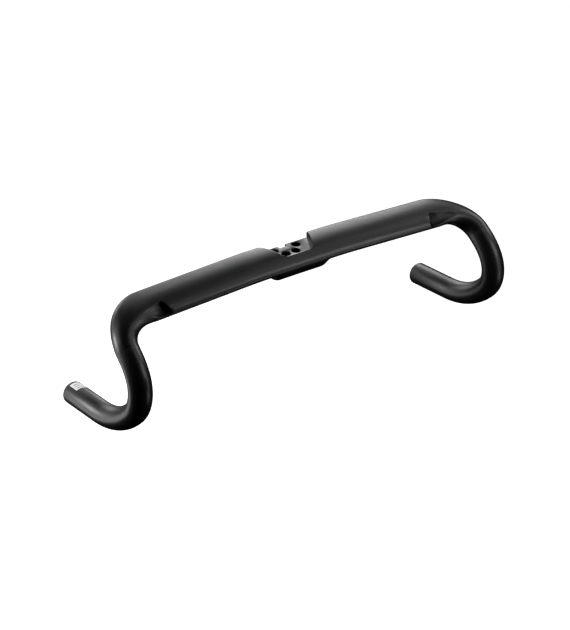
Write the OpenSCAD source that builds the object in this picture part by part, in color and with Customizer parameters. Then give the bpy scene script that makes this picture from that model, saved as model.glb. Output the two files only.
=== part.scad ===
// Drop handlebar with a flat aerofoil top, a recessed stem pad and two hooked drops.
// +Z up (square to the stem pad), -Y forward, X across the bar.
// The origin is midway between the two rear stem bolts, on the face of the pad.

/* [Top wing] */
// Half length of the level middle of the wing
level_half = 36; // [34:1:60]
// Radius that eases the level middle into the swept and drooped arms
ease_r = 900; // [400:50:2000]
// Length of each straight arm, from the easing to the shoulder
arm_run = 104; // [60:1:150]
// Forward sweep of the arms, in degrees
arm_sweep = 0.9; // [0:0.1:5]
// Droop of the arms, in degrees
arm_droop = 1.9; // [0:0.1:5]
// Wing depth from front to back
wing_chord = 44.8; // [38:0.1:56]
// Wing thickness
wing_thick = 19.6; // [16.3:0.1:26]
// Nose-down pitch of the wing section, in degrees
wing_pitch = 8.5; // [0:0.5:15]
// Depth of the wing's middle line below the line of the round tubes
wing_sink = 4.5; // [0:0.1:6]
// Laminate thickness of the wing
wing_wall = 1.8; // [1.2:0.1:2.5]

/* [Shoulders and drops] */
// Outer diameter of the round tubes
tube_d = 24; // [20:0.1:26]
// Laminate thickness of the round tubes
tube_wall = 1.8; // [1.2:0.1:3]
// Bend radius of each shoulder
shoulder_r = 44; // [36:1:70]
// Downward slope of the ramps, in degrees
ramp_slope = 36; // [15:1:50]
// Outward angle of the ramps seen from above, in degrees
ramp_flare = 2.5; // [0:0.5:12]
// Straight length between the shoulder and the hook
ramp_run = 4.5; // [2:0.5:30]
// Outward lean of the plane of the hook, in degrees
hook_lean = 3.5; // [0:0.5:15]
// Bend radius of the hook's upper curve
hook_r1 = 55; // [40:1:90]
// Angle of the hook's upper curve
hook_a1 = 20; // [14:1:40]
// Bend radius of the hook's tight curve
hook_r2 = 34; // [26:1:60]
// Angle of the hook's tight curve
hook_a2 = 77; // [50:1:95]
// Bend radius of the hook's lower curve
hook_r3 = 100; // [60:1:200]
// Angle of the hook's lower curve
hook_a3 = 41; // [20:1:50]
// Straight length at the end of each drop
grip_run = 53; // [30:1:90]

/* [Stem pad] */
// Distance from the rear bolts forward to the middle line of the wing
pad_back = 13.3; // [11:0.1:15]
// Height of the wing's middle line above the pad
wing_rise = -0.6; // [-2:0.1:1]
// Distance from the rear bolts forward to the front lip of the recess
recess_front = 25.7; // [23:0.1:28]
// Half width of the recess where its side walls meet the back of the wing
recess_half = 33; // [31:0.5:34]
// Distance from the rear bolts back to that width
recess_back = 10; // [8:0.5:14]
// Half width of the straight front lip of the recess
lip_half = 11.5; // [8:0.5:14]
// Corner radius at the front of the recess
recess_corner = 9; // [5:0.5:12]
// Distance from the rear bolts back to the flat rear face of the pad
pad_rear = 6.6; // [6.2:0.1:8]
// Distance between the rear bolts
rear_pitch = 27; // [24:0.1:32.4]
// Distance between the front bolts
front_pitch = 12; // [12:0.1:15]
// Distance from the rear bolts forward to the front bolts
row_pitch = 10.4; // [9.6:0.1:12]
// Bolt hole diameter
bolt_hole_d = 5.5; // [4.5:0.1:6.5]
// Counterbore diameter for the bolt heads
head_bore_d = 10.2; // [9:0.1:10.3]
// Counterbore depth
head_bore_h = 6.5; // [4:0.1:7]
// Width of the notch in the rear face
notch_w = 9; // [6:0.5:12]
// Depth of the notch in the rear face
notch_depth = 4; // [3:0.5:6]

/* [Underside boss] */
// Depth of the boss below the wing
boss_depth = 10.2; // [6:0.1:12]
// Half length of the full-depth part of the boss
boss_half = 26; // [24:1:30]
// Length over which each end of the boss fades out
boss_fade = 7; // [5:0.5:12]
// Length of the hose outlet slot
outlet_len = 26; // [16:1:34]
// Width of the hose outlet slot
outlet_w = 8; // [6.5:0.5:9]
// Distance from the rear bolts forward to the middle of the hose outlet
outlet_forward = 24.5; // [23:0.5:26]

/* [Hose ports] */
// Distance from the middle of the bar out to the inner edge of each hose port
port_inner = 158; // [150:1:162]
// Diameter of the hose port
port_d = 12.5; // [9:0.5:14]
// Length of the hose port's channel
port_run = 30; // [20:1:36]
// Forward angle of the channel seen from above, in degrees
port_angle = 20; // [10:1:30]
// Downward angle of the channel, in degrees
port_dip = 6; // [0:1:15]
// Distance of the port's axis ahead of the wing's middle line
port_forward = 21.5; // [19:0.5:24]
// Height of the port's axis above the wing's middle line
port_rise = 0.5; // [-3:0.5:3]

/* [Joints] */
// Length of each joint sleeve inside the wing's shoulder, in degrees of the bend
sleeve_wing_a = 11; // [8:1:12]
// Length of each joint sleeve inside the drop, in degrees of the hook's upper curve
sleeve_drop_a = 12; // [6:1:13]
// Wall thickness of the joint sleeves
sleeve_wall = 1.2; // [0.8:0.1:2]
// Glue gap between bonded pieces
glue_gap = 0.15; // [0.1:0.01:0.3]
// Half length of the clamp core
core_half = 34; // [33:0.5:34]
// Radial wall of the bolt sleeves around the counterbores
bush_wall = 0.5; // [0.3:0.1:0.5]
// Thickness of the seat under each bolt head
bush_seat = 2; // [1.2:0.1:3]

/* [Markings] */
// Length of the size label
label_len = 14; // [10:1:20]
// Arc of the size label around the tube, in degrees
label_arc = 60; // [40:5:90]
// Distance of the label from the end of the drop
label_inset = 4; // [2:0.5:10]
// Place of the label around the tube, in degrees
label_turn = 90; // [-180:5:180]
// Thickness of the label film
film = 0.08; // [0.05:0.01:0.1]

/* [Hidden] */
$fn = 64;
wing_sides = 48;                // corners of the wing section
tube_sides = 40;                // corners of the round tubes
sleeve_sides = 32;              // corners of the joint sleeves
bend_rings = 14;                // rings along each shoulder
ring_step = 7;                  // degrees between the rings of a hook
step = 0.02;                    // set-in of the curved tube where it enters the grip tube
lap = 1.5;                      // overlap of the curved tube and the grip tube
round_from = 0.92;              // share of the shoulder after which the section is round
past = 1;                       // overshoot of a cut past a face
far = 60;                       // longer than anything a cut has to clear
tube_r = tube_d/2;
bore_r = tube_r - tube_wall;
bush_r = head_bore_d/2 + bush_wall;
sleeve_foot = head_bore_h + bush_seat;

// Directions are [outward, forward, up]; the arms, the ramp and the axis of the shoulder
function unit(v) = v/norm(v);
arm_dir = unit([cos(arm_sweep)*cos(arm_droop), sin(arm_sweep), -sin(arm_droop)]);
ramp_dir = [sin(ramp_flare)*cos(ramp_slope), cos(ramp_flare)*cos(ramp_slope), -sin(ramp_slope)];
level_dir = [1, 0, 0];
ease_a = acos(level_dir*arm_dir);
ease_axis = unit(cross(level_dir, arm_dir));
shoulder_a = acos(arm_dir*ramp_dir);
shoulder_axis = unit(cross(arm_dir, ramp_dir));

// A vector turned about a unit axis
function turn(v, axis, a) = v*cos(a) + cross(axis, v)*sin(a) + axis*(axis*v)*(1 - cos(a));
// A point on an arc that starts at p along t and turns about the axis
function on_arc(p, t, axis, r, a) = p + cross(axis, t)*r*(1 - cos(a)) + t*r*sin(a);

start = [0, pad_back, wing_rise + wing_sink];
level_end = start + level_dir*level_half;
arm_start = on_arc(level_end, level_dir, ease_axis, ease_r, ease_a);
arm_end = arm_start + arm_dir*arm_run;
ramp_start = on_arc(arm_end, arm_dir, shoulder_axis, shoulder_r, shoulder_a);
up_level = [0, 0, 1];
up_arm = turn(up_level, ease_axis, ease_a);
up_ramp = turn(up_arm, shoulder_axis, shoulder_a);

// The hook lies in a plane that holds the ramp and leans outward
down_ramp = unit([0, 0, -1] - ramp_dir*(ramp_dir*[0, 0, -1]));
out_ramp = unit(cross(down_ramp, ramp_dir));
hook_in = down_ramp*cos(hook_lean) + out_ramp*sin(hook_lean);
hook_axis = cross(ramp_dir, hook_in);

// One station of the wing: [point, direction along, up, roundness 0 to 1, boss share 0 to 1]
function ramp01(x) = let (c = min(max(x, 0), 1)) c*c*(3 - 2*c);
function boss_at(x) = 1 - ramp01((x - boss_half)/boss_fade);
function level_station(x) = [start + level_dir*x, level_dir, up_level, 0, boss_at(x)];
function ease_station(a) = [on_arc(level_end, level_dir, ease_axis, ease_r, a),
    turn(level_dir, ease_axis, a), turn(up_level, ease_axis, a), 0, boss_at(level_half + a*ease_r*PI/180)];
function shoulder_station(s) = let (a = s*shoulder_a)
    [on_arc(arm_end, arm_dir, shoulder_axis, shoulder_r, a), turn(arm_dir, shoulder_axis, a),
     turn(up_arm, shoulder_axis, a), ramp01(s/round_from), 0];
level_at = [for (k = [0:4]) boss_half + k*(level_half - boss_half)/4];
half_stations = concat(
    [level_station(0)], [for (x = level_at) level_station(x)],
    [for (k = [1:3]) ease_station(ease_a*k/3)],
    [for (k = [0:bend_rings]) shoulder_station(k/bend_rings)]);
core_at = concat([0, boss_half], [for (k = [1:3]) boss_half + k*(core_half - boss_half)/3]);

// A section ring, drawn in by a thickness; the lower half carries the boss
function ring(st, inset) =
    let (w = st[3],
         a = (wing_chord/2)*(1 - w) + tube_r*w - inset,
         b = (wing_thick/2)*(1 - w) + tube_r*w - inset,
         low = b + boss_depth*st[4],
         behind = unit(cross(st[1], st[2])),
         pitch = wing_pitch*(1 - w),
         v = st[2]*cos(pitch) - behind*sin(pitch),
         u = behind*cos(pitch) + st[2]*sin(pitch),
         c = st[0] - st[2]*wing_sink*(1 - w))
    [for (k = [0:wing_sides - 1]) let (f = 360*k/wing_sides)
        c + u*a*cos(f) + v*(sin(f) > 0 ? b : low)*sin(f)];

// [outward, forward, up] to the bar's own axes, on the right (+1) or the left (-1)
function place(p, side) = [side*p[0], -p[1], p[2]];
function both_sides(rings) = concat(
    [for (i = [len(rings) - 1:-1:1]) [for (p = rings[i]) place(p, -1)]],
    [for (r = rings) [for (p = r) place(p, 1)]]);
function flat_list(rings) = [for (r = rings) each r];

// Faces between neighbouring rings of n corners, as triangles, facing out or in
function skin(count, n, first, outward) = [for (i = [0:count - 2], k = [0:n - 1], h = [0, 1])
    let (next = (k + 1)%n,
         p = first + i*n + k, q = first + i*n + next,
         r = p + n, s = q + n,
         f = h == 0 ? [p, q, s] : [p, s, r])
    outward ? [f[2], f[1], f[0]] : f];
function end_rim(n, o, i, outward) = [for (k = [0:n - 1], h = [0, 1])
    let (next = (k + 1)%n, f = h == 0 ? [o + k, o + next, i + next] : [o + k, i + next, i + k])
    outward ? [f[2], f[1], f[0]] : f];

// A tube between two lists of rings
module ring_tube(outer, inner) {
    n = len(outer[0]);
    count = len(outer);
    inside = count*n;
    last = (count - 1)*n;
    polyhedron(concat(flat_list(outer), flat_list(inner)),
        concat(skin(count, n, 0, true), skin(count, n, inside, false),
               end_rim(n, 0, inside, false), end_rim(n, last, inside + last, true)));
}

// A solid through one list of rings
module ring_solid(rings) {
    n = len(rings[0]);
    count = len(rings);
    last = (count - 1)*n;
    polyhedron(flat_list(rings), concat(skin(count, n, 0, true),
        [[for (k = [0:n - 1]) k]], [[for (k = [n - 1:-1:0]) last + k]]));
}

// Plan of the recess, grown by a margin: a straight front lip, round corners and walls that
// open to the rear at one angle
corner_y = recess_corner - recess_front;
to_back = [recess_half - lip_half, recess_back - corner_y];
open_a = atan2(to_back[1], to_back[0]) - acos(recess_corner/norm(to_back));
function recess_side(grow) = concat(
    [for (k = [0:8]) let (a = -90 + (open_a + 90)*k/8)
        [lip_half + (recess_corner + grow)*cos(a), corner_y + (recess_corner + grow)*sin(a)]],
    [[recess_half + grow*cos(open_a), recess_back + grow*sin(open_a)]]);
function recess_plan(grow) = let (side = recess_side(grow), last = len(side) - 1)
    concat(side, [[side[last][0], far/2], [-side[last][0], far/2]],
        [for (k = [last:-1:0]) [-side[k][0], side[k][1]]]);

// The space of the stem: over the pad, behind its rear face and in its notch, grown by a margin
module stem_space(grow) {
    translate([0, 0, -grow]) linear_extrude(far) polygon(recess_plan(grow));
    intersection() {
        translate([0, 0, -far/2]) linear_extrude(far) polygon(recess_plan(grow));
        translate([-far, pad_rear - grow, -far]) cube([2*far, far, 2*far]);
    }
    translate([-notch_w/2 - grow, pad_rear - notch_depth - grow, -far/2])
        cube([notch_w + 2*grow, far, far]);
}

// Place of one of the four bolts
module at_bolt(row, side) {
    x = (row == "rear" ? rear_pitch : front_pitch)/2;
    y = row == "rear" ? 0 : -row_pitch;
    translate([side*x, y, 0]) children();
}

// Holes for the bolts from just above the pad down to a depth
module bolt_holes(d, depth) {
    for (row = ["rear", "front"], side = [-1, 1])
        at_bolt(row, side) translate([0, 0, -depth]) cylinder(h = depth + past, d = d);
}

// Pockets for the bolt sleeves, from just under the pad's skin down past their feet
module sleeve_pockets() {
    top = wing_wall + glue_gap/2;
    for (row = ["rear", "front"], side = [-1, 1])
        at_bolt(row, side) translate([0, 0, -sleeve_foot - glue_gap])
            cylinder(h = sleeve_foot + glue_gap - top, r = bush_r + glue_gap);
}

// Rounded slot in the underside, where the hoses pass into the stem
module hose_outlet() {
    for (side = [-1, 1])
        translate([side*(outlet_len - outlet_w)/2, -outlet_forward, -far/2])
            cylinder(h = far/2 - head_bore_h, d = outlet_w);
    translate([-(outlet_len - outlet_w)/2, -outlet_forward - outlet_w/2, -far/2])
        cube([outlet_len - outlet_w, outlet_w, far/2 - head_bore_h]);
}

// Height and forward place of the wing's middle line at the port
port_share = (port_inner - arm_start[0])/(arm_end[0] - arm_start[0]);
port_mid = arm_start + (arm_end - arm_start)*port_share - up_arm*wing_sink;

module hose_port(side) {
    p = place(port_mid + [0, port_forward, port_rise], side);
    translate(p) rotate([0, 0, side > 0 ? 0 : 180])
        rotate([0, 0, -side*port_angle]) rotate([0, 90 + port_dip, 0])
            cylinder(h = port_run, d = port_d);
}

// The laminate skin of the wing, which also lines the space of the stem
module top_wing() color([0.09, 0.09, 0.10]) {
    wing_end = half_stations[len(half_stations) - 1];
    beyond = [wing_end[0] + wing_end[1]*past, wing_end[1], wing_end[2], wing_end[3], wing_end[4]];
    difference() {
        ring_solid(both_sides([for (s = half_stations) ring(s, 0)]));
        stem_space(0);
        difference() {
            ring_solid(both_sides([for (s = concat(half_stations, [beyond])) ring(s, wing_wall)]));
            stem_space(wing_wall);
        }
        bolt_holes(head_bore_d, wing_wall + past);
        bolt_holes(bolt_hole_d, far/2);
        sleeve_pockets();
        hose_outlet();
        hose_port(1);
        hose_port(-1);
    }
}

// The clamp core fills the middle of the wing behind the hose passage
hose_way = 26;                  // distance from the rear bolts forward to the core's front face
relief_y = -outlet_forward + outlet_w/2;

module clamp_core() color([0.13, 0.13, 0.14]) {
    rings = both_sides([for (x = core_at) ring(level_station(x), wing_wall + glue_gap)]);
    difference() {
        ring_solid(rings);
        stem_space(wing_wall + glue_gap);
        translate([-far, -hose_way - far, -far]) cube([2*far, far, 2*far]);
        translate([-outlet_len/2 - past, -far, -far])
            cube([outlet_len + 2*past, far + relief_y, far - head_bore_h + past]);
        bolt_holes(bolt_hole_d, far/2);
        sleeve_pockets();
    }
}

// Sleeve under the pad's skin: a counterbore for the bolt head over a seat
module bolt_sleeve(row, side) color([0.2, 0.2, 0.21]) at_bolt(row, side) {
    difference() {
        translate([0, 0, -sleeve_foot]) cylinder(h = sleeve_foot - wing_wall - glue_gap, r = bush_r);
        translate([0, 0, -head_bore_h]) cylinder(h = head_bore_h + past, d = head_bore_d);
        translate([0, 0, -far/2]) cylinder(h = far/2, d = bolt_hole_d);
    }
}

// Puts a shape drawn from the origin along +X, bending towards +Y, at a point of the bar
module lay(p, along, toward, side) {
    z = cross(along, toward);
    mirror([side > 0 ? 0 : 1, 0, 0])
        multmatrix([[along[0], toward[0], z[0], p[0]],
                    [-along[1], -toward[1], -z[1], -p[1]],
                    [along[2], toward[2], z[2], p[2]],
                    [0, 0, 0, 1]])
            children();
}

// Stations of a hook: [point, direction, towards the middle of the bend]
function bend_on(st, bend_r, a) = [
    st[0] + st[2]*bend_r*(1 - cos(a)) + st[1]*bend_r*sin(a),
    st[1]*cos(a) + st[2]*sin(a), st[2]*cos(a) - st[1]*sin(a)];
function run_on(st, length) = [st[0] + st[1]*length, st[1], st[2]];
function bend_stations(st, bend_r, a) = let (n = ceil(a/ring_step))
    [for (k = [1:n]) bend_on(st, bend_r, a*k/n)];
ramp_from = [ramp_start, ramp_dir, hook_in];
hook_from = run_on(ramp_from, ramp_run);
tight_from = bend_on(hook_from, hook_r1, hook_a1);
lower_from = bend_on(tight_from, hook_r2, hook_a2);
grip_from = bend_on(lower_from, hook_r3, hook_a3);
grip_end = run_on(grip_from, grip_run);
hook_stations = concat([ramp_from, hook_from],
    bend_stations(hook_from, hook_r1, hook_a1), bend_stations(tight_from, hook_r2, hook_a2),
    bend_stations(lower_from, hook_r3, hook_a3), [run_on(grip_from, 2*lap)]);

// Round rings along stations, for the right (+1) or the left (-1)
function round_rings(stations, r, n, side) = [for (st = stations)
    let (w = cross(st[1], st[2])*side)
    [for (k = [0:n - 1]) place(st[0] + st[2]*r*cos(360*k/n) - w*r*sin(360*k/n), side)]];

// The straight end of the drop, a true cylinder that starts just past the last curve
module grip_tube(r, over, side) lay(grip_from[0], grip_from[1], grip_from[2], side)
    translate([lap - over, 0, 0]) rotate([0, 90, 0]) cylinder(h = grip_run - lap + 2*over, r = r);

module drop(side) color([0.09, 0.09, 0.10]) {
    ring_tube(round_rings(hook_stations, tube_r - step, tube_sides, side),
              round_rings(hook_stations, (bore_r + step)/cos(180/tube_sides), tube_sides, side));
    difference() {
        grip_tube(tube_r, 0, side);
        grip_tube(bore_r, past, side);
    }
}

// Sleeve inside the joint: an arc in the shoulder, the ramp and an arc in the hook
wing_share = sleeve_wing_a/shoulder_a;
sleeve_stations = concat(
    [for (k = [0:3]) let (st = shoulder_station(1 - wing_share*(1 - k/4)))
        [st[0], st[1], cross(shoulder_axis, st[1])]],
    [[ramp_start, ramp_dir, cross(shoulder_axis, ramp_dir)]],
    [for (st = concat([hook_from], bend_stations(hook_from, hook_r1, sleeve_drop_a/2),
        [bend_on(hook_from, hook_r1, sleeve_drop_a)])) st]);

module joint_sleeve(side) color([0.25, 0.25, 0.26]) {
    r = bore_r - glue_gap;
    ring_tube(round_rings(sleeve_stations, r, sleeve_sides, side),
              round_rings(sleeve_stations, r - sleeve_wall, sleeve_sides, side));
}

// Film label around the upper outer side of the left drop's end
module size_label() color([0.92, 0.92, 0.90])
    lay(grip_end[0], grip_end[1], grip_end[2], -1)
        translate([-label_inset, 0, 0]) rotate([0, -90, 0]) rotate([0, 0, label_turn - label_arc/2])
            rotate_extrude(angle = label_arc) translate([tube_r, 0]) square([film, label_len]);

top_wing();
drop(-1);  // left_drop
drop(1);  // right_drop
joint_sleeve(-1);  // left_joint_sleeve
joint_sleeve(1);  // right_joint_sleeve
clamp_core();
bolt_sleeve("rear", -1);  // rear_left_bolt_sleeve
bolt_sleeve("rear", 1);  // rear_right_bolt_sleeve
bolt_sleeve("front", -1);  // front_left_bolt_sleeve
bolt_sleeve("front", 1);  // front_right_bolt_sleeve
size_label();
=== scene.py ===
import math

import bmesh
import bpy
import numpy as np
from mathutils import Matrix, Vector


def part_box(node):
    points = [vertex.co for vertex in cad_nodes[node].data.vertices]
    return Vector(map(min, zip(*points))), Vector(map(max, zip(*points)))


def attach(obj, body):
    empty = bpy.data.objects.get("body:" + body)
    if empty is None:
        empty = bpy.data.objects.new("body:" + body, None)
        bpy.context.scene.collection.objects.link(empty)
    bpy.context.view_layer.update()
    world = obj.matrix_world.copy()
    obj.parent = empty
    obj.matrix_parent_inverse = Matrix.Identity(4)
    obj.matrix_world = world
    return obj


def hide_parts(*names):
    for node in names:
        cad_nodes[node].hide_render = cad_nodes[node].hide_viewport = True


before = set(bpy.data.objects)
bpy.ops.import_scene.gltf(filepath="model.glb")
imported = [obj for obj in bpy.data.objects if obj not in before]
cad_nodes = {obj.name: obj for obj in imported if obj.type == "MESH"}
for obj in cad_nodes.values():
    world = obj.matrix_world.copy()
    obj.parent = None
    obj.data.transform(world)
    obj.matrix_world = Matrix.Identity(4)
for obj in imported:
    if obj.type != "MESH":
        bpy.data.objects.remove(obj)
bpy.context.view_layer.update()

# --- Top wing -------------------------------------------------------------------------------------
# The aerofoil top of the bar is one moulded carbon laminate skin, 1.8 mm thick and painted matte
# black. The skin turns down into the stem's pad, stands proud as a boss under the stem, and opens
# at each shoulder for the brake hoses. It is laid up in a two-part mould, then cured and trimmed.
MM = 0.001
CHORD, THICK, PITCH = 44.8, 19.6, math.radians(8.5)
WALL = 1.8
TUBE_R = 12.0
MIDDLE_BACK, MIDDLE_RISE, SINK = 13.3, -0.6, 4.5
LEVEL_HALF, EASE_R, ARM_RUN = 36.0, 900.0, 104.0
SWEEP, DROOP = math.radians(0.9), math.radians(1.9)
SHOULDER_R, RAMP_SLOPE, RAMP_FLARE = 44.0, math.radians(36.0), math.radians(2.5)
ROUND_FROM = 0.92
EASE_STATIONS, SHOULDER_STATIONS = 20, 48
BOSS_DEPTH, BOSS_HALF, BOSS_FADE = 10.2, 26.0, 7.0
WING_SIDES = 112


def unit(v):
    return np.asarray(v, float) / np.linalg.norm(v)


def turned(v, axis, angle):
    v, axis = np.asarray(v, float), np.asarray(axis, float)
    return (v * math.cos(angle) + np.cross(axis, v) * math.sin(angle)
            + axis * (axis @ v) * (1 - math.cos(angle)))


def on_arc(point, along, axis, radius, angle):
    return (point + np.cross(axis, along) * radius * (1 - math.cos(angle))
            + along * radius * math.sin(angle))


def eased(x):
    x = min(max(x, 0.0), 1.0)
    return x * x * (3 - 2 * x)


# Directions are [outward, forward, up], the same on both halves of the bar.
LEVEL = np.array([1.0, 0.0, 0.0])
UP = np.array([0.0, 0.0, 1.0])
arm_dir = unit([math.cos(SWEEP) * math.cos(DROOP), math.sin(SWEEP), -math.sin(DROOP)])
ramp_dir = np.array([math.sin(RAMP_FLARE) * math.cos(RAMP_SLOPE),
                     math.cos(RAMP_FLARE) * math.cos(RAMP_SLOPE), -math.sin(RAMP_SLOPE)])
ease_angle = math.acos(LEVEL @ arm_dir)
ease_axis = unit(np.cross(LEVEL, arm_dir))
shoulder_angle = math.acos(arm_dir @ ramp_dir)
shoulder_axis = unit(np.cross(arm_dir, ramp_dir))
level_end = np.array([LEVEL_HALF, MIDDLE_BACK, MIDDLE_RISE + SINK])
arm_start = on_arc(level_end, LEVEL, ease_axis, EASE_R, ease_angle)
arm_end = arm_start + arm_dir * ARM_RUN
arm_up = turned(UP, ease_axis, ease_angle)
ramp_start = on_arc(arm_end, arm_dir, shoulder_axis, SHOULDER_R, shoulder_angle)


def boss_share(x):
    return 1 - eased((x - BOSS_HALF) / BOSS_FADE)


def shoulder_station(share):
    angle = share * shoulder_angle
    return (on_arc(arm_end, arm_dir, shoulder_axis, SHOULDER_R, angle),
            turned(arm_dir, shoulder_axis, angle), turned(arm_up, shoulder_axis, angle),
            eased(share / ROUND_FROM), 0.0)


def half_wing(gap=1.6):
    """Stations from the middle of the bar out: point, direction, up, roundness, boss share."""
    made = []
    for x in np.arange(0.0, LEVEL_HALF, gap):
        made.append((np.array([x, level_end[1], level_end[2]]), LEVEL, UP, 0.0, boss_share(x)))
    for angle in np.linspace(0.0, ease_angle, EASE_STATIONS):
        boss = boss_share(LEVEL_HALF + angle * EASE_R)
        made.append((on_arc(level_end, LEVEL, ease_axis, EASE_R, angle),
                     turned(LEVEL, ease_axis, angle), turned(UP, ease_axis, angle), 0.0, boss))
    for run in np.arange(2 * gap, ARM_RUN, 2 * gap):
        made.append((arm_start + arm_dir * run, arm_dir, arm_up, 0.0, 0.0))
    for share in np.linspace(0.0, 1.0, SHOULDER_STATIONS):
        made.append(shoulder_station(share))
    return made


def wing_ring(station, inset):
    point, along, up, roundness, boss = station
    half = CHORD / 2 * (1 - roundness) + TUBE_R * roundness - inset
    high = THICK / 2 * (1 - roundness) + TUBE_R * roundness - inset
    low = high + BOSS_DEPTH * boss
    behind = unit(np.cross(along, up))
    pitch = PITCH * (1 - roundness)
    v = up * math.cos(pitch) - behind * math.sin(pitch)
    u = behind * math.cos(pitch) + up * math.sin(pitch)
    centre = point - up * SINK * (1 - roundness)
    turn = np.linspace(0, 2 * math.pi, WING_SIDES, endpoint=False)
    rise = np.where(np.sin(turn) > 0, high, low) * np.sin(turn)
    return centre + np.outer(half * np.cos(turn), u) + np.outer(rise, v)


def placed(points, side):
    """[outward, forward, up] in millimetres to the bar's own axes in metres."""
    return np.asarray(points, float) * np.array([side, -1.0, 1.0]) * MM


def both_sides(rings):
    return [placed(r, -1) for r in reversed(rings[1:])] + [placed(r, 1) for r in rings]


def lofted(name, rings, inner=None):
    """A closed solid through rings of points, or a tube between two lists of rings."""
    bm = bmesh.new()

    def skin(loops):
        made = [[bm.verts.new(p) for p in ring] for ring in loops]
        n = len(made[0])
        for a, b in zip(made, made[1:]):
            for k in range(n):
                bm.faces.new((a[k], a[(k + 1) % n], b[(k + 1) % n], b[k]))
        return made

    outside = skin(rings)
    ends = [outside[0], outside[-1]]
    if inner is None:
        for ring in ends:
            bm.faces.new(ring)
    else:
        inside = skin(inner)
        for a, b in zip(ends, (inside[0], inside[-1])):
            n = len(a)
            for k in range(n):
                bm.faces.new((a[k], a[(k + 1) % n], b[(k + 1) % n], b[k]))
    bmesh.ops.recalc_face_normals(bm, faces=bm.faces)
    mesh = bpy.data.meshes.new(name)
    bm.to_mesh(mesh)
    bm.free()
    return shown(name, mesh)


def shown(name, mesh):
    piece = bpy.data.objects.new(name, mesh)
    bpy.context.scene.collection.objects.link(piece)
    return piece


def flattened(piece):
    """Applies the piece's modifiers to its mesh."""
    graph = bpy.context.evaluated_depsgraph_get()
    mesh = bpy.data.meshes.new_from_object(piece.evaluated_get(graph))
    piece.modifiers.clear()
    piece.data = mesh


def combined(piece, other, operation):
    """Joins the other solid to the piece or cuts it out, and uses the other up."""
    modifier = piece.modifiers.new("cut", "BOOLEAN")
    modifier.operation = operation
    modifier.solver = "EXACT"
    modifier.object = other
    flattened(piece)
    bpy.data.objects.remove(other)


def prism(name, outline, low, high):
    """An upright solid over an outline of [x, y] points, in millimetres."""
    flat = [[(x * MM, y * MM, z * MM) for x, y in outline] for z in (low, high)]
    return lofted(name, flat)


def round_outline(centre, radius, sides=64):
    return [(centre[0] + radius * math.cos(2 * math.pi * k / sides),
             centre[1] + radius * math.sin(2 * math.pi * k / sides)) for k in range(sides)]


# The stem's space: a recess over the pad, the flat rear face and the hose notch in it. Cutters
# run FAR beyond the wing and pass each other by MARGIN, so that no two faces lie on each other.
RECESS_FRONT, RECESS_HALF, RECESS_BACK = 25.7, 33.0, 10.0
LIP_HALF, RECESS_CORNER = 11.5, 9.0
PAD_REAR, NOTCH_W, NOTCH_DEPTH, NOTCH_CORNER = 6.6, 9.0, 4.0, 1.2
REAR_PITCH, FRONT_PITCH, ROW_GAP = 27.0, 12.0, 10.4
BOLT_D, HEAD_D, HEAD_H = 5.5, 10.2, 6.5
OUTLET_LEN, OUTLET_W, OUTLET_FORWARD = 26.0, 8.0, 24.5
FAR, MARGIN = 30.0, 1.0
bolts = [(side * REAR_PITCH / 2, 0.0) for side in (-1, 1)]
bolts += [(side * FRONT_PITCH / 2, -ROW_GAP) for side in (-1, 1)]


def recess_outline(grow):
    corner_y = RECESS_CORNER - RECESS_FRONT
    across, back = RECESS_HALF - LIP_HALF, RECESS_BACK - corner_y
    opens = math.atan2(back, across) - math.acos(RECESS_CORNER / math.hypot(across, back))
    side = [(LIP_HALF + (RECESS_CORNER + grow) * math.cos(a),
             corner_y + (RECESS_CORNER + grow) * math.sin(a))
            for a in np.linspace(-math.pi / 2, opens, 17)]
    wide = RECESS_HALF + grow * math.cos(opens)
    side += [(wide, RECESS_BACK + grow * math.sin(opens)), (wide, FAR)]
    return side + [(-x, y) for x, y in reversed(side)]


def stem_space(grow):
    space = prism("stem_space", recess_outline(grow), -grow, FAR)
    behind = [(x, y) for x, y in recess_outline(grow) if y > RECESS_BACK - MARGIN]
    wide = max(x for x, y in behind)
    rear = prism("rear_cut", [(-wide, PAD_REAR - grow), (wide, PAD_REAR - grow),
                              (wide, FAR), (-wide, FAR)], -FAR, FAR / 2)
    combined(space, rear, "UNION")
    half, front = NOTCH_W / 2 + grow, PAD_REAR - NOTCH_DEPTH - grow
    quarter = np.linspace(0, math.pi / 2, 5)
    notch = [(-half, FAR - MARGIN), (-half, front + NOTCH_CORNER)]
    notch += [(-half + NOTCH_CORNER - NOTCH_CORNER * math.cos(a),
               front + NOTCH_CORNER - NOTCH_CORNER * math.sin(a)) for a in quarter]
    notch += [(half - NOTCH_CORNER + NOTCH_CORNER * math.sin(a),
               front + NOTCH_CORNER - NOTCH_CORNER * math.cos(a)) for a in quarter]
    notch += [(half, front + NOTCH_CORNER), (half, FAR - MARGIN)]
    combined(space, prism("notch", notch, -FAR + MARGIN, FAR / 2 + MARGIN), "UNION")
    return space


# The hose channel: a round groove that starts square across the nose of the wing and runs out
# along the inside of the shoulder, getting shallower until it fades into the surface. Its centre
# lies forward of the wing's middle line and above it, and leaves the wing as it goes. The first
# rings are close together and smaller, which rounds its inner end.
PORT_INNER, PORT_TILT = 158.5, math.radians(26.0)
GROOVE_R, GROOVE_END_R = 11.5, 7.0
GROOVE_FORWARD, GROOVE_UP = 21.5, 7.2
GROOVE_LEAVE_FORWARD, GROOVE_LEAVE_UP = 10.5, 4.5
GROOVE_SHARE, TILT_SHARE = 0.8, 0.25
GROOVE_CORNER, CORNER_STEPS = 1.6, (0.0, 0.5, 1.2, 2.2)
CHANNEL_FROM, STRAIGHT_RINGS, BENT_RINGS, GROOVE_SIDES = 3.5, 5, 18, 40


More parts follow.
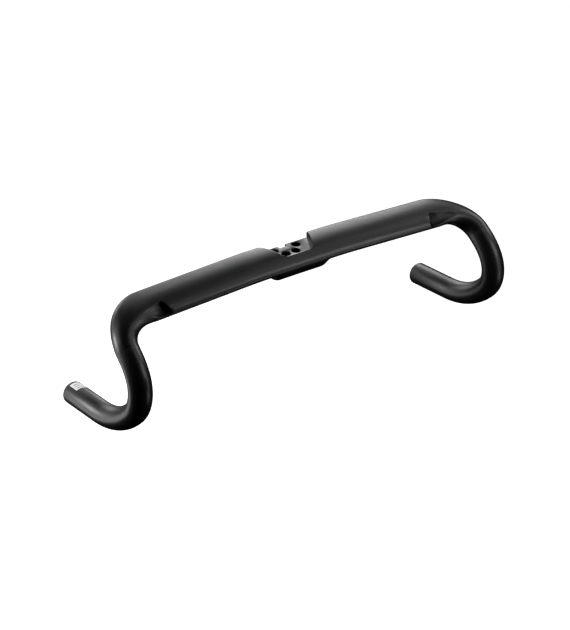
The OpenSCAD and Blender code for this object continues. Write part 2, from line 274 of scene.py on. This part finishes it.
def groove_rings(grow=0.0):
    """Rings of the groove's cutter, from its inner end outward, grown by a margin."""
    rings = []
    port_run = PORT_INNER - arm_start[0]
    runs = [port_run + step for step in CORNER_STEPS]
    runs += list(np.linspace(port_run + CHANNEL_FROM, ARM_RUN, STRAIGHT_RINGS + 1)[:-1])
    straight = [(arm_start + arm_dir * run, arm_dir, arm_up, 0.0) for run in runs]
    bent = [shoulder_station(share)[:4] for share in np.linspace(0.0, GROOVE_SHARE, BENT_RINGS)]
    stations = straight + bent
    corner_end = len(CORNER_STEPS) - 1
    for k, (point, along, up, roundness) in enumerate(stations):
        share = max(0, k - corner_end) / (len(stations) - 1 - corner_end)
        forward = unit(np.cross(up, along))
        half = CHORD / 2 * (1 - roundness) + TUBE_R * roundness
        out = half + (GROOVE_FORWARD - CHORD / 2) + GROOVE_LEAVE_FORWARD * share ** 2
        rise = GROOVE_UP + GROOVE_LEAVE_UP * share
        centre = point - up * SINK * (1 - roundness) + forward * out + up * rise
        radius = GROOVE_R + (GROOVE_END_R - GROOVE_R) * share + grow
        radius -= GROOVE_CORNER * max(0, 1 - k / corner_end) ** 2
        tilt = math.tan(PORT_TILT) * (1 - min(1.0, share / TILT_SHARE))
        ring = []
        for a in np.linspace(0, 2 * math.pi, GROOVE_SIDES, endpoint=False):
            across = forward * math.cos(a) + up * math.sin(a)
            ring.append(centre + across * radius - along * tilt * radius * math.cos(a))
        rings.append(ring)
    return rings


OPEN_END = 2.0
outer = both_sides([wing_ring(s, 0.0) for s in half_wing()])
hollow = [wing_ring(s, WALL) for s in half_wing()]
hollow.append(hollow[-1] + ramp_dir * OPEN_END)
top_wing = lofted("top_wing_shell", outer)
combined(top_wing, stem_space(0.0), "DIFFERENCE")
inside = lofted("wing_inside", both_sides(hollow))
combined(inside, stem_space(WALL), "DIFFERENCE")
for side in (-1, 1):
    lining = lofted("groove_lining", [placed(r, side) for r in groove_rings(WALL)])
    combined(inside, lining, "DIFFERENCE")
combined(top_wing, inside, "DIFFERENCE")
for bolt in bolts:
    head_hole = prism("head_hole", round_outline(bolt, HEAD_D / 2), -WALL - MARGIN, MARGIN)
    combined(top_wing, head_hole, "DIFFERENCE")
    bolt_hole = prism("bolt_hole", round_outline(bolt, BOLT_D / 2), -FAR, -HEAD_H)
    combined(top_wing, bolt_hole, "DIFFERENCE")
slot = [(OUTLET_LEN / 2 - OUTLET_W / 2 + OUTLET_W / 2 * math.sin(a),
         -OUTLET_FORWARD - OUTLET_W / 2 * math.cos(a)) for a in np.linspace(0, math.pi, 17)]
slot += [(-x, y) for x, y in reversed(slot)]
combined(top_wing, prism("outlet", slot, -FAR, -HEAD_H), "DIFFERENCE")
for side in (-1, 1):
    groove = lofted("groove", [placed(r, side) for r in groove_rings()])
    combined(top_wing, groove, "DIFFERENCE")


JOINT_NEAR = 0.05
SAME_POINT, SLIVER, GATHER = 0.01, 0.02, 1.6
EDGE_ROUND = 0.45


def at_joint(vert):
    """True on the rim where the painted-over joint with a drop is."""
    p = np.array([abs(vert.co.x), -vert.co.y, vert.co.z]) / MM
    in_plane = abs((p - ramp_start) @ ramp_dir) < JOINT_NEAR
    return in_plane and np.linalg.norm(p - ramp_start) < TUBE_R + MARGIN


def eased_edges(piece, width, sharp=30.0, close=0.35):
    """Tidies the short edges that the cuts leave, then rounds every sharp edge but the joints'."""
    bm = bmesh.new()
    bm.from_mesh(piece.data)
    limit = math.radians(sharp)
    bmesh.ops.remove_doubles(bm, verts=bm.verts, dist=SAME_POINT * MM)
    bmesh.ops.dissolve_degenerate(bm, edges=bm.edges, dist=SLIVER * MM)
    on_edge = set()
    for e in bm.edges:
        if len(e.link_faces) == 2 and e.calc_face_angle(0) > limit:
            on_edge.update(e.verts)
    bmesh.ops.remove_doubles(bm, verts=list(on_edge), dist=close * MM)
    on_edge = set(v for e in bm.edges if len(e.link_faces) == 2 and e.calc_face_angle(0) > limit
                  for v in e.verts)
    gather = {}
    for v in bm.verts:
        if v in on_edge:
            continue
        near = [e.other_vert(v) for e in v.link_edges
                if e.other_vert(v) in on_edge and e.calc_length() < GATHER * width * MM]
        if near:
            gather[v] = min(near, key=lambda o: (o.co - v.co).length)
    bmesh.ops.weld_verts(bm, targetmap=gather)
    bmesh.ops.dissolve_degenerate(bm, edges=bm.edges, dist=SLIVER * MM)
    edges = [e for e in bm.edges if len(e.link_faces) == 2 and e.calc_face_angle(0) > limit
             and not all(at_joint(v) for v in e.verts)]
    bmesh.ops.bevel(bm, geom=edges, offset=width * MM, offset_type="OFFSET", segments=2,
                    profile=0.5, affect="EDGES", clamp_overlap=True)
    bm.to_mesh(piece.data)
    bm.free()


def smooth(piece, angle=40.0):
    bm = bmesh.new()
    bm.from_mesh(piece.data)
    for f in bm.faces:
        f.smooth = True
    for e in bm.edges:
        e.smooth = not (len(e.link_faces) == 2 and e.calc_face_angle(0) > math.radians(angle))
    bm.to_mesh(piece.data)
    bm.free()


eased_edges(top_wing, EDGE_ROUND)
smooth(top_wing)


def shared_effect(name, inputs, outputs):
    """A node group with named number inputs and outputs, in and out nodes included."""
    group = bpy.data.node_groups.new(name, "ShaderNodeTree")
    for title, kind, value in inputs:
        made = group.interface.new_socket(title, in_out="INPUT", socket_type=kind)
        if value is not None:
            made.default_value = value
    for title, kind in outputs:
        group.interface.new_socket(title, in_out="OUTPUT", socket_type=kind)
    start = group.nodes.new("NodeGroupInput")
    end = group.nodes.new("NodeGroupOutput")
    return group, start, end


def node(tree, kind, settings=None, **inputs):
    """A new node; inputs are sockets to link from or plain values, by name or by number."""
    made = tree.nodes.new(kind)
    for key, value in (settings or {}).items():
        setattr(made, key, value)
    for key, value in inputs.items():
        socket = made.inputs[int(key[1:])] if key[0] == "i" and key[1:].isdigit() else made.inputs[key]
        if isinstance(value, bpy.types.NodeSocket):
            tree.links.new(value, socket)
        else:
            socket.default_value = value
    return made


def sums(tree, operation, a, b=0.0, c=0.0):
    return node(tree, "ShaderNodeMath", {"operation": operation}, i0=a, i1=b, i2=c).outputs[0]


def between(tree, value, low, high, to_low=0.0, to_high=1.0):
    made = node(tree, "ShaderNodeMapRange", {"clamp": True}, Value=value)
    made.inputs["From Min"].default_value = low
    made.inputs["From Max"].default_value = high
    made.inputs["To Min"].default_value = to_low
    made.inputs["To Max"].default_value = to_high
    return made.outputs["Result"]


# Fine orange peel and settled dust of a sprayed matte coat, over a faint print of the laminate.
PEEL_SCALE, DUST_SCALE, CLOUD_SCALE, PRINT_SCALE = 1400.0, 5200.0, 38.0, 150.0
PRINT_SHARE = 0.8
paint_grain, start, end = shared_effect(
    "paint_grain", [("Position", "NodeSocketVector", None), ("Grain", "NodeSocketFloat", 0.35)],
    [("Height", "NodeSocketFloat"), ("Roughness", "NodeSocketFloat"), ("Tone", "NodeSocketFloat")])
spot = start.outputs["Position"]
peel = node(paint_grain, "ShaderNodeTexNoise", Vector=spot, Scale=PEEL_SCALE, Detail=2.0)
dust = node(paint_grain, "ShaderNodeTexNoise", Vector=spot, Scale=DUST_SCALE, Detail=1.0)
cloud = node(paint_grain, "ShaderNodeTexNoise", Vector=spot, Scale=CLOUD_SCALE, Detail=4.0)
print_through = node(paint_grain, "ShaderNodeTexNoise", Vector=spot, Scale=PRINT_SCALE, Detail=1.0)
fine = sums(paint_grain, "MULTIPLY_ADD", dust.outputs["Fac"], start.outputs["Grain"], peel.outputs["Fac"])
height = sums(paint_grain, "MULTIPLY_ADD", print_through.outputs["Fac"], PRINT_SHARE, fine)
paint_grain.links.new(height, end.inputs["Height"])
paint_grain.links.new(between(paint_grain, cloud.outputs["Fac"], 0.3, 0.7, -0.02, 0.03),
                      end.inputs["Roughness"])
paint_grain.links.new(between(paint_grain, dust.outputs["Fac"], 0.35, 0.75, 0.92, 1.1),
                      end.inputs["Tone"])

# Rubbed edges and fine handling scratches: they polish the coat and lighten it slightly.
SCRATCH_STRETCH, SCRATCH_TURN = (26.0, 900.0, 900.0), (0.0, 0.12, 0.3)
PATCH_SCALE, EDGE_WEAR = 24.0, 0.8
wear, start, end = shared_effect(
    "handling_wear", [("Position", "NodeSocketVector", None), ("Edge", "NodeSocketFloat", 0.0)],
    [("Polish", "NodeSocketFloat"), ("Lift", "NodeSocketFloat")])
long_way = node(wear, "ShaderNodeMapping", Vector=start.outputs["Position"])
long_way.inputs["Scale"].default_value = SCRATCH_STRETCH
long_way.inputs["Rotation"].default_value = SCRATCH_TURN
scratch = node(wear, "ShaderNodeTexNoise", Vector=long_way.outputs["Vector"], Scale=1.0, Detail=2.0)
patch = node(wear, "ShaderNodeTexNoise", Vector=start.outputs["Position"], Scale=PATCH_SCALE, Detail=3.0)
lines = between(wear, scratch.outputs["Fac"], 0.66, 0.74)
patches = between(wear, patch.outputs["Fac"], 0.5, 0.66)
marks = sums(wear, "MULTIPLY", lines, patches)
rubbed = sums(wear, "MULTIPLY_ADD", start.outputs["Edge"], EDGE_WEAR, marks)
wear.links.new(rubbed, end.inputs["Polish"])
wear.links.new(between(wear, rubbed, 0.0, 1.0, 0.0, 0.03), end.inputs["Lift"])


def edge_share(tree):
    """High on outward edges, from the bend of the surface."""
    bend = node(tree, "ShaderNodeNewGeometry")
    return between(tree, bend.outputs["Pointiness"], 0.53, 0.6)


POLISH, PEEL_DEPTH = -0.06, 0.0002


def coated(name, colour, roughness, grain=0.35, bump=0.06):
    """A grained, worn finish: returns the material, its shader and its roughness so far."""
    made = bpy.data.materials.new(name)
    made.use_nodes = True
    tree = made.node_tree
    shader = tree.nodes["Principled BSDF"]
    place = node(tree, "ShaderNodeTexCoord").outputs["Object"]
    coat = node(tree, "ShaderNodeGroup", {"node_tree": paint_grain}, Position=place, Grain=grain)
    used = node(tree, "ShaderNodeGroup", {"node_tree": wear}, Position=place, Edge=edge_share(tree))
    toned = [sums(tree, "MULTIPLY_ADD", coat.outputs["Tone"], c, used.outputs["Lift"]) for c in colour]
    mixed = node(tree, "ShaderNodeCombineColor", Red=toned[0], Green=toned[1], Blue=toned[2])
    tree.links.new(mixed.outputs["Color"], shader.inputs["Base Color"])
    rough = sums(tree, "ADD", coat.outputs["Roughness"], roughness)
    rough = sums(tree, "MULTIPLY_ADD", used.outputs["Polish"], POLISH, rough)
    tree.links.new(rough, shader.inputs["Roughness"])
    raised = node(tree, "ShaderNodeBump", Height=coat.outputs["Height"], Strength=bump,
                  Distance=PEEL_DEPTH)
    tree.links.new(raised.outputs["Normal"], shader.inputs["Normal"])
    return made, shader, rough


# Low-sheen marks on the front of the wing: a row of slim slanted strokes on each arm.
BLACK = (0.010, 0.010, 0.011)
MARK_FROM, MARK_TO, MARK_PITCH, MARK_SLANT = 0.050, 0.094, 0.0052, 0.6
MARK_LOW, MARK_HIGH, NOSE_FROM = -0.0085, -0.0035, -0.030
MARK_WIDTH, MARK_SHEEN = 0.55, -0.10
wing_black, wing_shader, wing_rough = coated("matte_black_paint", BLACK, 0.34)
tree = wing_black.node_tree
place = node(tree, "ShaderNodeTexCoord").outputs["Object"]
axes = node(tree, "ShaderNodeSeparateXYZ", Vector=place)
out_way = sums(tree, "ABSOLUTE", axes.outputs["X"])
stroke = sums(tree, "MULTIPLY_ADD", axes.outputs["Z"], MARK_SLANT, out_way)
stroke = sums(tree, "FRACT", sums(tree, "DIVIDE", stroke, MARK_PITCH))
bars = sums(tree, "LESS_THAN", stroke, MARK_WIDTH)
in_row = sums(tree, "MULTIPLY", sums(tree, "GREATER_THAN", out_way, MARK_FROM),
              sums(tree, "LESS_THAN", out_way, MARK_TO))
band = sums(tree, "MULTIPLY", sums(tree, "GREATER_THAN", axes.outputs["Z"], MARK_LOW),
            sums(tree, "LESS_THAN", axes.outputs["Z"], MARK_HIGH))
front = sums(tree, "LESS_THAN", axes.outputs["Y"], NOSE_FROM)
marks = sums(tree, "MULTIPLY", sums(tree, "MULTIPLY", bars, in_row), sums(tree, "MULTIPLY", band, front))
marked = sums(tree, "MULTIPLY_ADD", marks, MARK_SHEEN, wing_rough)
tree.links.new(marked, wing_shader.inputs["Roughness"])
top_wing.data.materials.clear()
top_wing.data.materials.append(wing_black)
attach(top_wing, "root")
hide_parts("top_wing")

# --- Drops ----------------------------------------------------------------------------------------
# Each drop is a round carbon tube, 24 mm across with a 1.8 mm wall, moulded in its own curve and
# bonded to the shoulder of the wing. It ends in a plain open tube that takes a plug.
RAMP_RUN, HOOK_LEAN = 4.5, math.radians(3.5)
HOOK = ((55.0, math.radians(20.0)), (34.0, math.radians(77.0)), (100.0, math.radians(41.0)))
GRIP_RUN = 53.0
TUBE_WALL, END_ROUND = 1.8, 0.45
TUBE_SIDES, TURN_STEP = 96, math.radians(1.6)

down_ramp = unit(-UP - ramp_dir * (ramp_dir @ -UP))
out_ramp = unit(np.cross(down_ramp, ramp_dir))
hook_in = down_ramp * math.cos(HOOK_LEAN) + out_ramp * math.sin(HOOK_LEAN)


# A station on a drop is its middle point, the way the tube runs there, and the way it bends.
def bent_on(station, radius, angle):
    point, along, toward = station
    return (point + toward * radius * (1 - math.cos(angle)) + along * radius * math.sin(angle),
            along * math.cos(angle) + toward * math.sin(angle),
            toward * math.cos(angle) - along * math.sin(angle))


def run_on(station, length):
    return (station[0] + station[1] * length, station[1], station[2])


def drop_stations():
    made = [(ramp_start, ramp_dir, hook_in)]
    made.append(run_on(made[-1], RAMP_RUN))
    for radius, angle in HOOK:
        start, count = made[-1], math.ceil(angle / TURN_STEP)
        made += [bent_on(start, radius, angle * k / count) for k in range(1, count + 1)]
    made.append(run_on(made[-1], GRIP_RUN - END_ROUND))
    return made


def round_ring(station, radius, side):
    point, along, toward = station
    across = np.cross(along, toward)
    turn = np.linspace(0, 2 * math.pi, TUBE_SIDES, endpoint=False)
    return placed(point + np.outer(radius * np.cos(turn), toward)
                  + np.outer(radius * np.sin(turn), across), side)


tube_black = coated("matte_black_tube", BLACK, 0.33)[0]
stations = drop_stations()
bore = TUBE_R - TUBE_WALL
for side, name in ((-1, "left"), (1, "right")):
    outside = [round_ring(s, TUBE_R, side) for s in stations]
    inside = [round_ring(s, bore, side) for s in stations]
    for a in np.linspace(math.pi / 6, math.pi / 2, 3):
        lip = run_on(stations[-1], END_ROUND * math.sin(a))
        back = END_ROUND * (1 - math.cos(a))
        outside.append(round_ring(lip, TUBE_R - back, side))
        inside.append(round_ring(lip, bore + back, side))
    drop = lofted(f"{name}_drop_tube", outside, inside)
    smooth(drop)
    drop.data.materials.append(tube_black)
    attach(drop, "root")
    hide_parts(f"{name}_drop")

# --- Joint sleeves --------------------------------------------------------------------------------
# A short curved carbon sleeve sits inside each joint between the wing and a drop. It is bare cloth
# laminate, sanded and bonded to both tubes.
BARE_GREY = (0.022, 0.022, 0.024)
TOW, TOW_SHEEN = 0.0021, 0.14


def on_cad(name, material):
    """Puts a finish on a piece that is carried over as it is."""
    for slot in cad_nodes[name].material_slots:
        slot.material = material


bare, bare_shader, bare_rough = coated("bare_laminate", BARE_GREY, 0.45, grain=0.6, bump=0.15)
tree = bare.node_tree
place = node(tree, "ShaderNodeTexCoord").outputs["Object"]
axes = node(tree, "ShaderNodeSeparateXYZ", Vector=place)
one_way = sums(tree, "ADD", axes.outputs["X"], axes.outputs["Z"])
other_way = sums(tree, "SUBTRACT", axes.outputs["Z"], axes.outputs["Y"])
step_a = sums(tree, "FLOOR", sums(tree, "DIVIDE", one_way, TOW))
step_b = sums(tree, "FLOOR", sums(tree, "DIVIDE", other_way, TOW))
woven = sums(tree, "PINGPONG", sums(tree, "ADD", step_a, step_b), 2.0)
over = sums(tree, "GREATER_THAN", woven, 0.9)
sheen = sums(tree, "MULTIPLY_ADD", over, TOW_SHEEN, bare_rough)
tree.links.new(sheen, bare_shader.inputs["Roughness"])
for name in ("left_joint_sleeve", "right_joint_sleeve"):
    on_cad(name, bare)

# --- Clamp core -----------------------------------------------------------------------------------
# The core is a moulded block of fibre-filled nylon that fills the wing under the stem, so that the
# skin isn't crushed. It is bonded in and shows only through the hose outlet.
CORE_GREY = (0.018, 0.018, 0.019)
core_black = coated("moulded_core", CORE_GREY, 0.55, grain=0.9, bump=0.35)[0]
on_cad("clamp_core", core_black)

# --- Bolt sleeves ---------------------------------------------------------------------------------
# Four turned aluminium sleeves, black anodised, sit in the core under the pad. Each is a
# counterbore for a bolt head over a flat seat, and carries the clamp load into the core.
ANODISED_GREY, TURNING_STRETCH = (0.035, 0.035, 0.038), (30.0, 30.0, 9000.0)
anodised, metal_shader, metal_rough = coated("black_anodised", ANODISED_GREY, 0.32, bump=0.03)
metal_shader.inputs["Metallic"].default_value = 0.9
tree = anodised.node_tree
place = node(tree, "ShaderNodeTexCoord").outputs["Object"]
turning = node(tree, "ShaderNodeMapping", Vector=place)
turning.inputs["Scale"].default_value = TURNING_STRETCH
rings = node(tree, "ShaderNodeTexNoise", Vector=turning.outputs["Vector"], Scale=1.0, Detail=2.0)
marked = between(tree, rings.outputs["Fac"], 0.3, 0.7, -0.06, 0.1)
tree.links.new(sums(tree, "ADD", marked, metal_rough), metal_shader.inputs["Roughness"])
for row in ("rear", "front"):
    for hand in ("left", "right"):
        on_cad(f"{row}_{hand}_bolt_sleeve", anodised)

# --- Size label -----------------------------------------------------------------------------------
# A white printed film is stuck round the top of the left drop's end. It carries plain ruled marks
# and no lettering.
RULED_ROWS, ROW_GAP_SHARE = 4.0, 0.62
RULED_HALF_ROUND, RULED_HALF_ALONG = 0.32, 0.40
INK = (0.12, 0.12, 0.13, 1)
film = bpy.data.materials.new("printed_film")
film.use_nodes = True
tree = film.node_tree
film_shader = tree.nodes["Principled BSDF"]
place = node(tree, "ShaderNodeTexCoord").outputs["Object"]
axes = node(tree, "ShaderNodeSeparateXYZ", Vector=place)
low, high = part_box("size_label")
along = between(tree, axes.outputs["Y"], low.y, high.y)
around = between(tree, axes.outputs["X"], low.x, high.x)
row = sums(tree, "FRACT", sums(tree, "MULTIPLY", along, RULED_ROWS))
ruled = sums(tree, "MULTIPLY", sums(tree, "GREATER_THAN", row, ROW_GAP_SHARE),
             sums(tree, "COMPARE", around, 0.5, RULED_HALF_ROUND))
ruled = sums(tree, "MULTIPLY", ruled, sums(tree, "COMPARE", along, 0.5, RULED_HALF_ALONG))
paper_grain = node(tree, "ShaderNodeTexNoise", Vector=place, Scale=2600.0, Detail=2.0)
white = between(tree, paper_grain.outputs["Fac"], 0.3, 0.7, 0.66, 0.72)
ink = node(tree, "ShaderNodeMix", {"data_type": "RGBA"}, i0=ruled)
ink.inputs[7].default_value = INK
pale = node(tree, "ShaderNodeCombineColor", Red=white, Green=white, Blue=white)
tree.links.new(pale.outputs["Color"], ink.inputs[6])
tree.links.new(ink.outputs[2], film_shader.inputs["Base Color"])
rough_film = between(tree, paper_grain.outputs["Fac"], 0.3, 0.7, 0.3, 0.42)
tree.links.new(rough_film, film_shader.inputs["Roughness"])
on_cad("size_label", film)

# --- Stage ----------------------------------------------------------------------------------------
# The bar floats over a pale glowing floor, under a sky that is white only where the camera sees
# it, so the lamps alone light the bar. One more lamp shines on the size label and nothing else.
AZ, EL, ROLL = math.radians(-35.866), math.radians(28.224), math.radians(0.831)
DISTANCE, LENS = 2.160, 122.82
SHIFT_X, SHIFT_Y, AIM_Y = -0.0016, -0.1052, -0.002
FLOOR_Z, FLOOR_HALF = -0.7, 20
back = np.array([math.sin(AZ) * math.cos(EL), -math.cos(AZ) * math.cos(EL), math.sin(EL)])
right = np.array([math.cos(AZ), math.sin(AZ), 0.0])
above = np.cross(back, right)
camera_data = bpy.data.cameras.new("camera")
camera_data.lens = LENS
camera_data.sensor_width = 36.0
camera_data.shift_x, camera_data.shift_y = SHIFT_X, SHIFT_Y
camera = bpy.data.objects.new("camera", camera_data)
bpy.context.scene.collection.objects.link(camera)
bpy.context.scene.camera = camera
across = right * math.cos(ROLL) + above * math.sin(ROLL)
upward = above * math.cos(ROLL) - right * math.sin(ROLL)
camera.matrix_world = Matrix(((across[0], upward[0], back[0], back[0] * DISTANCE),
                              (across[1], upward[1], back[1], back[1] * DISTANCE + AIM_Y),
                              (across[2], upward[2], back[2], back[2] * DISTANCE),
                              (0, 0, 0, 1)))

floor_mesh = bpy.data.meshes.new("floor")
corners = [(x * FLOOR_HALF, y * FLOOR_HALF, FLOOR_Z) for x, y in ((-1, -1), (1, -1), (1, 1), (-1, 1))]
floor_mesh.from_pydata(corners, [], [(0, 1, 2, 3)])
floor = shown("floor", floor_mesh)
paper = bpy.data.materials.new("pale_floor")
paper.use_nodes = True
paper_shader = paper.node_tree.nodes["Principled BSDF"]
paper_shader.inputs["Base Color"].default_value = (0.9, 0.9, 0.9, 1)
paper_shader.inputs["Emission Color"].default_value = (1, 1, 1, 1)
paper_shader.inputs["Emission Strength"].default_value = 1.0
floor.data.materials.append(paper)
floor.visible_diffuse = False
floor.visible_glossy = False

world = bpy.data.worlds.new("world")
bpy.context.scene.world = world
world.use_nodes = True
sky = world.node_tree.nodes["Background"]
sky.inputs["Color"].default_value = (1, 1, 1, 1)
seen = world.node_tree.nodes.new("ShaderNodeLightPath")
world.node_tree.links.new(seen.outputs["Is Camera Ray"], sky.inputs["Strength"])
bpy.context.scene.view_settings.view_transform = "Standard"


def lamp(name, azimuth, elevation, size, power, distance=1.3, about=(0, 0, 0)):
    """A rectangular lamp that faces a point; angles in degrees, power in watts."""
    a, e = math.radians(azimuth), math.radians(elevation)
    data = bpy.data.lights.new(name, "AREA")
    data.shape = "RECTANGLE"
    data.size, data.size_y = size
    data.energy = power
    made = bpy.data.objects.new(name, data)
    bpy.context.scene.collection.objects.link(made)
    spot = Vector((math.sin(a) * math.cos(e), -math.cos(a) * math.cos(e), math.sin(e)))
    made.location = spot * distance + Vector(about)
    made.rotation_mode = "QUATERNION"
    made.rotation_quaternion = spot.to_track_quat("Z", "Y")
    return made


# Azimuth 0 is in front of the bar and 90 is to its right. Of the lamps that light the whole bar,
# the strongest stands behind it on its left.
PANEL = (0.5, 0.5)
lamp("back_right_lamp", 142, 28, PANEL, 2.7)
lamp("back_lamp", 167, 28, PANEL, 0.7)
lamp("front_right_lamp", 39, 28, PANEL, 2.9)
lamp("left_lamp", -129, 2, PANEL, 8.0)
lamp("low_left_lamp", -137, -25, PANEL, 1.64)
lamp("high_front_lamp", 45, 55, PANEL, 0.93)
lamp("high_right_lamp", 90, 55, PANEL, 0.56)
lamp("right_lamp", 90, 28, PANEL, 2.75)
lamp("rear_lamp", 180, 2, PANEL, 1.6)
lamp("side_lamp", 116, 28, PANEL, 0.55)
lamp("low_rear_lamp", 154, 2, PANEL, 0.9)
lamp("rear_left_lamp", -154, 2, PANEL, 0.5)
lamp("high_left_lamp", -116, 28, PANEL, 1.4)
lamp("rear_high_left_lamp", -141, 28, PANEL, 0.8)
lamp("grazing_lamp", 145, 8, (0.5, 0.25), 1.3)
lamp("low_front_lamp", 35, -25, PANEL, 1.0)
lamp("right_drop_lamp", 25, 10, (0.25, 0.35), 0.35, distance=0.5, about=(0.21, -0.05, -0.06))
label_lamp = lamp("label_lamp", -60, 60, PANEL, 14)
label_only = bpy.data.collections.new("label_only")
label_only.objects.link(cad_nodes["size_label"])
label_lamp.light_linking.receiver_collection = label_only
